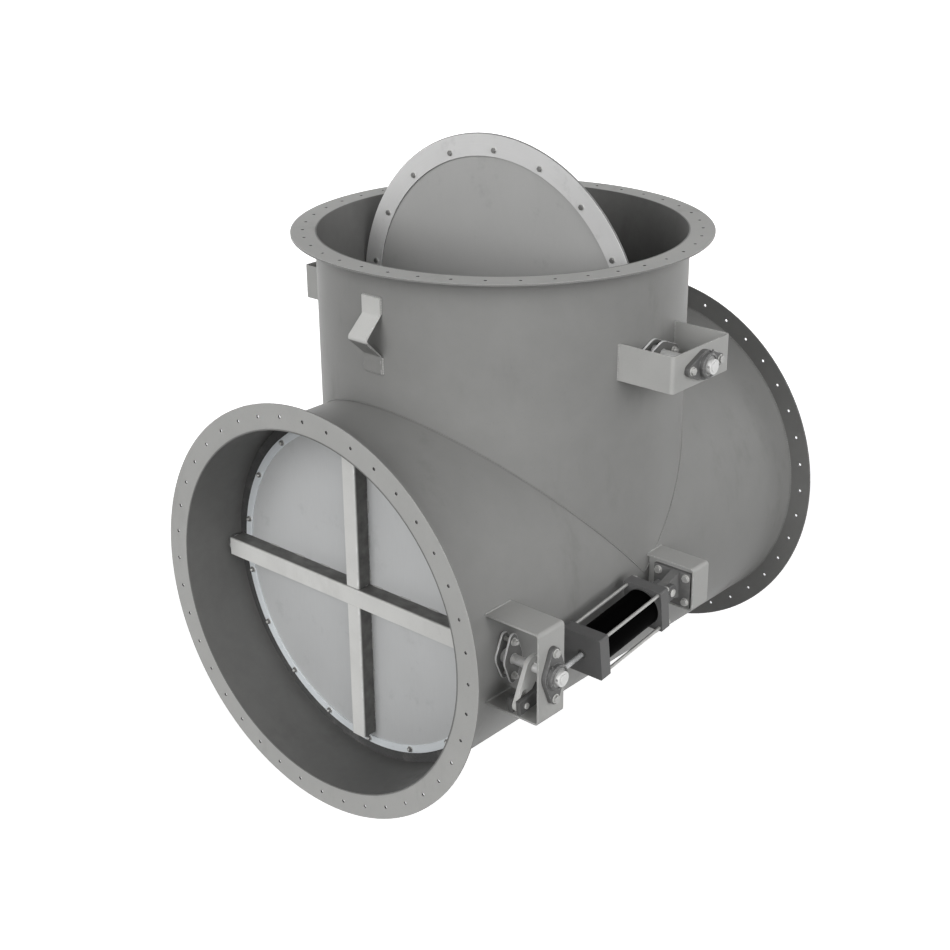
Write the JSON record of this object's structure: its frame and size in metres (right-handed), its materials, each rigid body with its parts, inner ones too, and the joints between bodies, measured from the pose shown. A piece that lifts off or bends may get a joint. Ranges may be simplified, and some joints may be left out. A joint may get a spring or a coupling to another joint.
{
  "type": "face and bypass damper",
  "caption": "Flanged duct tee with a butterfly blade in its face port and another in its bypass port; an air cylinder turns the face blade through a keyed lever.",
  "frame": {"origin": "centre of the common port's flange face", "axes": "+Y out of the common port along the main duct, +Z out of the bypass port, +X towards the air cylinder's side"},
  "size_m": [1.452, 1.52, 1.7014],
  "materials": {
    "duct_paint": "satin",
    "flange_paint": "satin",
    "bracket_paint": "satin",
    "beam_paint": "satin",
    "lever_paint": "satin",
    "cap_paint": "satin",
    "barrel_black": "gloss",
    "blade_steel": "satin",
    "stainless": "satin",
    "shaft_steel": "satin",
    "bearing_steel": "satin",
    "clevis_steel": "satin",
    "rod_chrome": "polished",
    "fastener": "satin",
    "cast_iron": "matte",
    "bronze": "satin",
    "seal_rubber": "matte",
    "packing": "matte"
  },
  "bodies": {
    "housing": {"main_duct": "duct_paint", "branch_duct": "duct_paint", "common_flange": "flange_paint", "face_flange": "flange_paint", "bypass_flange": "flange_paint", "lifting_strap": "flange_paint", "face_bracket_right": "bracket_paint", "face_bracket_left": "bracket_paint", "face_bearing_right": "cast_iron", "face_bearing_left": "cast_iron", "face_gland_boxes": "bracket_paint", "face_gland_followers": "shaft_steel", "bypass_bracket_right": "bracket_paint", "bypass_bracket_left": "bracket_paint", "bypass_bearing_right": "cast_iron", "bypass_bearing_left": "cast_iron", "bypass_gland_boxes": "bracket_paint", "bypass_gland_followers": "shaft_steel", "packing_rings": "packing", "gland_studs": "fastener", "bearing_inserts": "bearing_steel", "bearing_bolts": "fastener", "pivot_strap": "bracket_paint", "pivot_web": "bracket_paint", "pivot_plate": "cast_iron", "pivot_bolts": "fastener"},
    "face_blade": {"face_beam": "beam_paint", "face_stiffeners": "beam_paint", "face_plate": "blade_steel", "face_clamp_ring": "blade_steel", "face_seal": "seal_rubber", "face_seal_ring": "stainless", "face_blade_bolts": "fastener", "face_shaft_right": "shaft_steel", "face_shaft_left": "shaft_steel", "face_bearing_inner_rings": "bearing_steel", "lever": "lever_paint", "lever_key": "shaft_steel"},
    "bypass_blade": {"bypass_beam": "beam_paint", "bypass_stiffeners": "beam_paint", "bypass_plate": "blade_steel", "bypass_clamp_ring": "blade_steel", "bypass_seal": "seal_rubber", "bypass_seal_ring": "stainless", "bypass_blade_bolts": "fastener", "bypass_shaft_right": "shaft_steel", "bypass_shaft_left": "shaft_steel", "bypass_bearing_inner_rings": "bearing_steel"},
    "cylinder": {"front_cap": "cap_paint", "rear_cap": "cap_paint", "barrel": "barrel_black", "tie_rods": "fastener", "rod_bush": "bronze", "rear_clevis": "cap_paint", "rear_pin": "fastener"},
    "rod": {"piston_rod": "rod_chrome", "piston": "shaft_steel", "rod_nut": "fastener", "rod_clevis": "clevis_steel", "clevis_pin": "fastener"}
  },
  "joints": [
    {"name": "face_shaft", "type": "hinge", "parent": "housing", "child": "face_blade", "pos_m": [0, -1.352, 0], "axis": [1, 0, 0], "range_deg": [0, 90]},
    {"name": "bypass_shaft", "type": "hinge", "parent": "housing", "child": "bypass_blade", "pos_m": [0, -0.76, 0.633], "axis": [1, 0, 0], "range_deg": [0, 90]},
    {"name": "cylinder_pivot", "type": "hinge", "parent": "housing", "child": "cylinder", "pos_m": [0.598, -0.8, -0.006], "axis": [1, 0, 0], "range_deg": [-1.42, 0]},
    {"name": "rod_stroke", "type": "slide", "parent": "cylinder", "child": "rod", "axis": [0, 0.9923, 0.1236], "range_m": [0, 0.1266]}
  ],
  "couplings": [
    {"joint": "cylinder_pivot", "follows": "face_shaft", "ratio": -0.015769},
    {"joint": "rod_stroke", "follows": "face_shaft", "m_per_rad": 0.080553}
  ]
}
